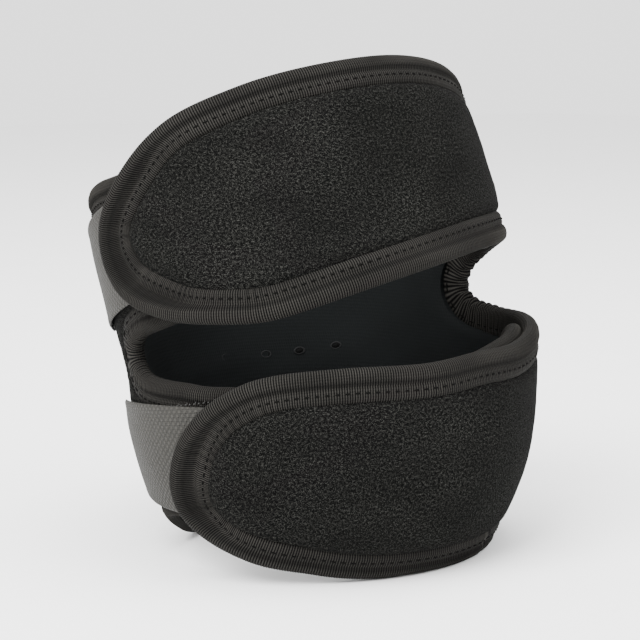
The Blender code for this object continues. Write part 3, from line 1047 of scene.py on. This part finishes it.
@dataclass
class HookTape:
    """A strip of hook tape sewn under a strap's tongue, with a free end that peels off the hub."""

    name: str
    far: tuple[float, float, float]
    near: tuple[float, float, float]
    spacing: float = 0.6
    corner: float = 1.2
    hook_pitch: float = 1.5

    HOOK_MARGIN = 2.0
    HOOK_START = 2.4

    def heights(self, angle: Array) -> tuple[Array, Array]:
        """Lower and upper edge of the tape at some angles."""
        share = (angle - self.far[0]) / (self.near[0] - self.far[0])
        low = self.far[1] + (self.near[1] - self.far[1]) * share
        return low, self.far[2] + (self.near[2] - self.far[2]) * share

    def ripple(self, angle: Array, share: Array) -> Array:
        """How far the tape stands off its rest level: a slight bow, and lift at its cut end."""
        gone = np.clip((angle - self.far[0]) / 9.0, 0, 1)
        corners = 0.12 * (1 - gone) ** 2 * (0.35 + 0.65 * np.abs(2 * share - 1) ** 2)
        bow = 0.10 * np.sin(angle * 0.23) * np.sin(math.pi * share)
        return corners + bow + 0.06 * np.sin(share * 9 + angle * 0.11)

    def build(self) -> bpy.types.Object:
        """Makes the woven backing with its thicker selvedges.

        Returns:
            The backing object.
        """
        span = (self.near[0] - self.far[0]) * MM_PER_DEGREE
        wide, tall = round(span / self.spacing), round((self.far[2] - self.far[1]) / self.spacing)
        across = np.linspace(self.far[0], self.near[0], wide + 1)
        angle, share = np.meshgrid(across, np.linspace(0, 1, tall + 1), indexing="ij")
        low, high = self.heights(angle)
        along = (angle - self.far[0]) * MM_PER_DEGREE
        cut = np.clip(1 - along / self.corner, 0, 1) * self.corner * 0.3
        height = low + cut + (high - low - 2 * cut) * share
        edge = np.minimum(share, 1 - share) * (high - low)
        selvedge = 0.10 * np.exp(-((edge - 1.2) / 0.9) ** 2)
        weave = 0.035 * np.sin(along * 3.4) * np.sin(height * 3.4)
        ripple = self.ripple(angle, share)
        rounded = 0.22 * np.exp(-edge / 0.25)
        outer = TUBE.place(angle, height, BACKING_LEVELS[1] + ripple + selvedge + weave - rounded)
        inner = TUBE.place(angle, height, BACKING_LEVELS[0] + ripple + rounded * 0.6)
        points = np.vstack([outer.reshape(-1, 3), inner.reshape(-1, 3)])
        cloth = np.stack([along, height], -1).reshape(-1, 2)
        size = (wide + 1) * (tall + 1)

        def at(side: int, i: int, j: int) -> int:
            return side * size + i * (tall + 1) + j

        faces = []
        for i in range(wide):
            for j in range(tall):
                faces.append((at(0, i, j), at(0, i + 1, j), at(0, i + 1, j + 1), at(0, i, j + 1)))
                faces.append((at(1, i, j), at(1, i, j + 1), at(1, i + 1, j + 1), at(1, i + 1, j)))
        for i in range(wide):
            faces.append((at(0, i, 0), at(1, i, 0), at(1, i + 1, 0), at(0, i + 1, 0)))
            faces.append((at(0, i, tall), at(0, i + 1, tall), at(1, i + 1, tall), at(1, i, tall)))
        for j in range(tall):
            faces.append((at(0, 0, j), at(0, 0, j + 1), at(1, 0, j + 1), at(1, 0, j)))
            faces.append((at(0, wide, j), at(1, wide, j), at(1, wide, j + 1), at(0, wide, j + 1)))
        return make_mesh(self.name, points, faces, np.vstack([cloth, cloth]), (TAPE,))

    def hooks(self) -> bpy.types.Object:
        """Makes the field of small bent hooks under the tape.

        Returns:
            The hook field object.
        """
        span = (self.near[0] - self.far[0]) * MM_PER_DEGREE
        tall = self.far[2] - self.far[1] - 2 * self.HOOK_MARGIN
        points: list[Array] = []
        faces: list[tuple[int, ...]] = []
        stem = (
            (0.0, 0.0, 0.20), (0.0, 0.45, 0.15), (0.12, 0.72, 0.13), (0.38, 0.80, 0.10), (0.55, 0.62, 0.05)
        )
        ring = [(math.cos(t), math.sin(t)) for t in np.arange(4) * math.pi / 2]
        count = 0
        for i in range(int((span - 2 * self.HOOK_MARGIN) / self.hook_pitch)):
            for j in range(int(tall / self.hook_pitch)):
                inward = self.HOOK_START + (i + 0.5 * (j % 2)) * self.hook_pitch
                angle = self.far[0] + inward / MM_PER_DEGREE
                low_edge = float(self.heights(np.array(angle))[0])
                height = low_edge + self.HOOK_MARGIN + j * self.hook_pitch
                way = 1.0 if (i + j) % 2 else -1.0
                ripple = self.ripple(np.array(angle), np.array(j * self.hook_pitch / tall))
                top = BACKING_LEVELS[0] + 0.1 + float(ripple)
                for lean, drop, radius in stem:
                    for across, along in ring:
                        at = (angle + across * radius / MM_PER_DEGREE, height + way * lean + along * radius)
                        points.append(TUBE.place(np.array(at[0]), np.array(at[1]), np.array(top - drop)))
                for k in range(len(stem) - 1):
                    for n in range(4):
                        m = (n + 1) % 4
                        low, high = count + k * 4, count + k * 4 + 4
                        faces.append((low + n, low + m, high + m, high + n))
                faces.append(tuple(count + n for n in range(4)))
                faces.append(tuple(count + (len(stem) - 1) * 4 + n for n in range(4)))
                count += len(stem) * 4
        stacked = np.array(points)
        return make_mesh(self.name + "_hooks", stacked, faces, stacked[:, :2], (HOOKS,))


# ----------------------------------------------------------------------------
# Sub-assemblies


def cad_nodes(prefix: str, *layers: str) -> list[str]:
    """Node names of some layers of one laminate."""
    return [f"{prefix}_{layer}" for layer in layers]


LAMINATE = ("lining", "foam", "loop_face")


@dataclass
class Hub:
    """The fixed sheet: hub panel, inner arms, their binding and the vent holes."""

    outline: Outline
    panels: dict[str, Array]
    vents: tuple[tuple[float, float], ...] = ((90.0, 61.0), (75.0, 60.0), (63.0, 59.0), (50.0, 58.0))

    RIM_TURNS = 20
    ROLL_TURNS = 8
    RIM_RADIUS = 1.5
    RIM_ROLL = 0.3
    RIM_HEIGHT = 0.2
    RIM_DROP = 0.05
    HOLE_SHADE_RADIUS = 1.35
    HOLE_SHADE_FLOOR = 0.12
    HOLE_SHADE_ROOF = 0.3

    def build(self) -> None:
        """Builds and dresses every piece of the hub."""
        panel = Panel("hub_panel", self.panels["hub"], self.outline.inner.line).build()
        names = ("hub", "upper_arm", "lower_arm")
        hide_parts(*[node for name in names for node in cad_nodes(name, *LAMINATE)])
        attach(panel, Body.HUB.value)
        report(panel)
        paths = self.outline.edges()
        edge = EdgeBinding("hub_edge_binding", paths["hub"], gathers=((170.0, 57.0, 9.0, 0.35),))
        names = ("hub_foot", "lower_arm", "left_notch", "upper_arm", "hub_top")
        self.dress_binding(edge, [f"{name}_binding" for name in names])
        notch = EdgeBinding("notch_binding", paths["notch"], gathers=((*NOTCH_APEX, 11.0, 0.95),))
        self.dress_binding(notch, ["right_notch_binding"])
        for index, (angle, height) in enumerate(self.vents):
            self.vent(index + 1, angle, height)

    def dress_binding(self, binding: EdgeBinding, nodes: list[str]) -> None:
        """Builds one binding of the hub with its stitches."""
        tape = binding.build()
        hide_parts(*nodes)
        for piece in (tape, binding.stitches()):
            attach(piece, Body.HUB.value)
            report(piece)

    @staticmethod
    def beside(angle: float, height: float, radius: float, turn: float, level: float) -> Array:
        """A point at a distance from a place of the lining, turned round it from the level line."""
        across = angle + radius * math.cos(turn) / INNER_MM_PER_DEGREE
        up = height + radius * math.sin(turn)
        return TUBE.place(np.array(across), np.array(up), np.array(level))

    def vent(self, number: int, angle: float, height: float) -> None:
        """Builds one vent hole: a rolled rim round a near-black disc in the lining that is painted shade
        for the inside of the hole.
        """
        turns, rolls = self.RIM_TURNS, self.ROLL_TURNS
        points, faces = [], []
        for i in range(turns):
            turn = 2 * math.pi * i / turns
            for j in range(rolls):
                roll = 2 * math.pi * j / rolls
                radius = self.RIM_RADIUS + self.RIM_ROLL * math.cos(roll)
                level = -SHEET - self.RIM_DROP - self.RIM_HEIGHT * math.sin(roll)
                points.append(self.beside(angle, height, radius, turn, level))
                k, m = (i + 1) % turns, (j + 1) % rolls
                faces.append((i * rolls + j, k * rolls + j, k * rolls + m, i * rolls + m))
        stacked = np.array(points)
        rim = make_mesh(f"vent_rim_{number}", stacked, faces, stacked[:, :2], (RING,))
        # Painted shade: a dark closed disc set into the lining stands for the shade inside the hole.
        hole_shade_points = [
            self.beside(angle, height, self.HOLE_SHADE_RADIUS, 2 * math.pi * i / turns, level)
            for level in (-SHEET - self.HOLE_SHADE_FLOOR, -SHEET + self.HOLE_SHADE_ROOF)
            for i in range(turns)
        ]
        hole_shade_faces = [tuple(range(turns)), tuple(range(turns, 2 * turns))]
        for i in range(turns):
            k = (i + 1) % turns
            hole_shade_faces.append((i, k, turns + k, turns + i))
        stacked = np.array(hole_shade_points)
        hole_shade = make_mesh(f"vent_hole_shade_{number}", stacked, hole_shade_faces, stacked[:, :2], (HOLE_SHADE,))
        for piece in (rim, hole_shade):
            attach(piece, Body.HUB.value)


@dataclass
class Strap:
    """An outer strap: its panel, edge binding and hook tape."""

    name: str
    body: Body
    tape_body: Body
    panel: Array
    rim: Array
    edge: Path
    middle: float
    far: tuple[float, float, float]
    near: tuple[float, float, float]
    hinge: Sequence[float]
    hollow: float

    BEND = 8.0

    def build(self) -> None:
        """Builds and dresses every piece of the strap."""
        start, end = fold_points(self.middle)
        panel = Panel(f"{self.name}_strap_panel", self.panel, self.rim).build()
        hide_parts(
            *cad_nodes(f"{self.name}_root", *LAMINATE),
            *cad_nodes(f"{self.name}_strap", *LAMINATE),
        )
        binding = EdgeBinding(f"{self.name}_strap_edge", self.edge, hollow=self.hollow)
        tape = binding.build()
        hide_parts(f"{self.name}_strap_binding")
        stitches = binding.stitches()
        for piece in (panel, tape, stitches):
            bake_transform(piece)
            report(piece)
        self.build_tape()

    def peel_points(self, height: float) -> tuple[Array, Array]:
        """Where the free end of the tape starts and stops bending, beyond its hinge in the frame.

        Args:
            height: Height of the middle of the tape.

        Returns:
            The start on the tongue's side and the end on the free side, in metres.
        """
        angles = np.arange(self.far[0], self.near[0], 0.05)
        line = TUBE.place(angles, np.full(len(angles), height), sum(BACKING_LEVELS) / 2) * MM
        hinge = int(np.argmin(np.linalg.norm(line - np.array(self.hinge), axis=1)))
        beyond = int(np.argmin(np.abs(angles - (angles[hinge] - self.BEND))))
        return line[hinge], line[beyond]

    def build_tape(self) -> None:
        """Builds the hook tape and finds where it would bend as it leaves the tongue."""
        strip = HookTape(f"{self.name}_hook_tape", self.far, self.near)
        middle = (self.far[1] + self.far[2]) / 2
        start, end = self.peel_points(middle)
        backing, hooks = strip.build(), strip.hooks()
        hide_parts(f"{self.name}_sewn_tape_backing", f"{self.name}_free_tape_backing")
        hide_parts(f"{self.name}_sewn_tape_hooks", f"{self.name}_free_tape_hooks")
        for piece in (backing, hooks):
            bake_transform(piece)
            report(piece)
        length = (self.near[0] - self.far[0]) * MM_PER_DEGREE * MM
        (self.far[2] - self.far[1]) * MM


@dataclass
class Studio:
    """Floor, soft lights and camera."""

    target: tuple[float, float, float] = (0.00136, -0.00697, 0.0676)
    azimuth: float = -37.0
    elevation: float = 8.1
    distance: float = 0.50
    lens: float = 102.4
    aim_right: float = -0.0023
    aim_up: float = -0.0059
    lamp_distance: float = 1.4
    floor_half: float = 3.0

    def build(self) -> None:
        """Builds everything that isn't part of the pad."""
        self.floor()
        self.world()
        for name, azimuth, elevation, size, power in (
            ("key_softbox", -75.0, 48.0, 0.9, 46.0),
            ("fill_softbox", 25.0, 35.0, 1.0, 8.0),
            ("top_softbox", -20.0, 85.0, 0.9, 20.0),
        ):
            self.light(name, azimuth, elevation, size, power)
        self.camera()

    @staticmethod
    def direction(azimuth: float, elevation: float) -> Vector:
        """Unit vector from the pad towards a viewer."""
        a, e = math.radians(azimuth), math.radians(elevation)
        return Vector((math.sin(a) * math.cos(e), -math.cos(a) * math.cos(e), math.sin(e)))

    def floor(self) -> None:
        """A wide pale sheet of paper."""
        data = bpy.data.meshes.new("floor")
        half = self.floor_half
        sides = [(-half, -half, 0), (half, -half, 0), (half, half, 0), (-half, half, 0)]
        data.from_pydata(sides, [], [(0, 1, 2, 3)])
        data.materials.append(FLOOR.material())
        floor = bpy.data.objects.new("floor", data)
        floor.location.z = -0.0002
        bpy.context.scene.collection.objects.link(floor)

    @staticmethod
    def world() -> None:
        """An even white surround."""
        world = bpy.data.worlds.new("studio")
        world.use_nodes = True
        background = world.node_tree.nodes["Background"]
        background.inputs["Color"].default_value = (1.0, 1.0, 1.0, 1.0)
        background.inputs["Strength"].default_value = 2.1
        bpy.context.scene.world = world

    def light(self, name: str, azimuth: float, elevation: float, size: float, power: float) -> None:
        """Adds a soft square light that faces the pad."""
        data = bpy.data.lights.new(name, "AREA")
        data.shape = "SQUARE"
        data.size = size
        data.energy = power
        lamp = bpy.data.objects.new(name, data)
        way = self.direction(azimuth, elevation)
        lamp.location = Vector(self.target) + way * self.lamp_distance
        lamp.rotation_euler = way.to_track_quat("Z", "Y").to_euler()
        bpy.context.scene.collection.objects.link(lamp)

    def camera(self) -> None:
        """Adds the camera at the viewing angle."""
        data = bpy.data.cameras.new("camera")
        data.lens = self.lens
        camera = bpy.data.objects.new("camera", data)
        way = self.direction(self.azimuth, self.elevation)
        turn = way.to_track_quat("Z", "Y")
        right, up = turn @ Vector((1, 0, 0)), turn @ Vector((0, 1, 0))
        aim = Vector(self.target) + right * self.aim_right + up * self.aim_up
        camera.location = aim + way * self.distance
        camera.rotation_euler = turn.to_euler()
        bpy.context.scene.collection.objects.link(camera)
        bpy.context.scene.camera = camera


def report(piece: bpy.types.Object) -> None:
    """Logs one finished piece."""
    LOG.info("%s: %d corners", piece.name, len(piece.data.vertices))


def corners(box: tuple[Any, Any]) -> list[list[float]]:
    """A box as plain lists of numbers."""
    return [[round(float(v), 6) for v in corner] for corner in box]


def main() -> None:
    """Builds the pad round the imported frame."""
    logging.basicConfig(level=logging.INFO, format="%(name)s: %(message)s")
    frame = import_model()
    hinges = {joint["name"]: joint["pos_m"] for joint in frame["joints"]}
    outline = Outline()
    panels = outline.panels(Panel.spacing)
    paths = outline.edges()
    Hub(outline, panels).build()
    for name, body, tape_body, middle, far, near, hollow in (
        ("upper", Body.UPPER_STRAP, Body.UPPER_TAPE, 88.0, (70.0, 97.5), (70.0, 97.5), 0.3),
        ("lower", Body.LOWER_STRAP, Body.LOWER_TAPE, 23.0, (13.5, 44.5), (15.0, 40.8), 1.4),
    ):
        tip = paths[name].line[:, 0].min()
        Strap(
            name=name,
            body=body,
            tape_body=tape_body,
            panel=panels[name],
            rim=outline.inner.line,
            edge=paths[name],
            middle=middle,
            far=(tip - TAPE_FREE, *far),
            near=(tip + TAPE_SEWN, *near),
            hinge=hinges[f"{name}_tape_peel"],
            hollow=hollow,
        ).build()
    Studio().build()


if __name__ == "__main__":
    main()
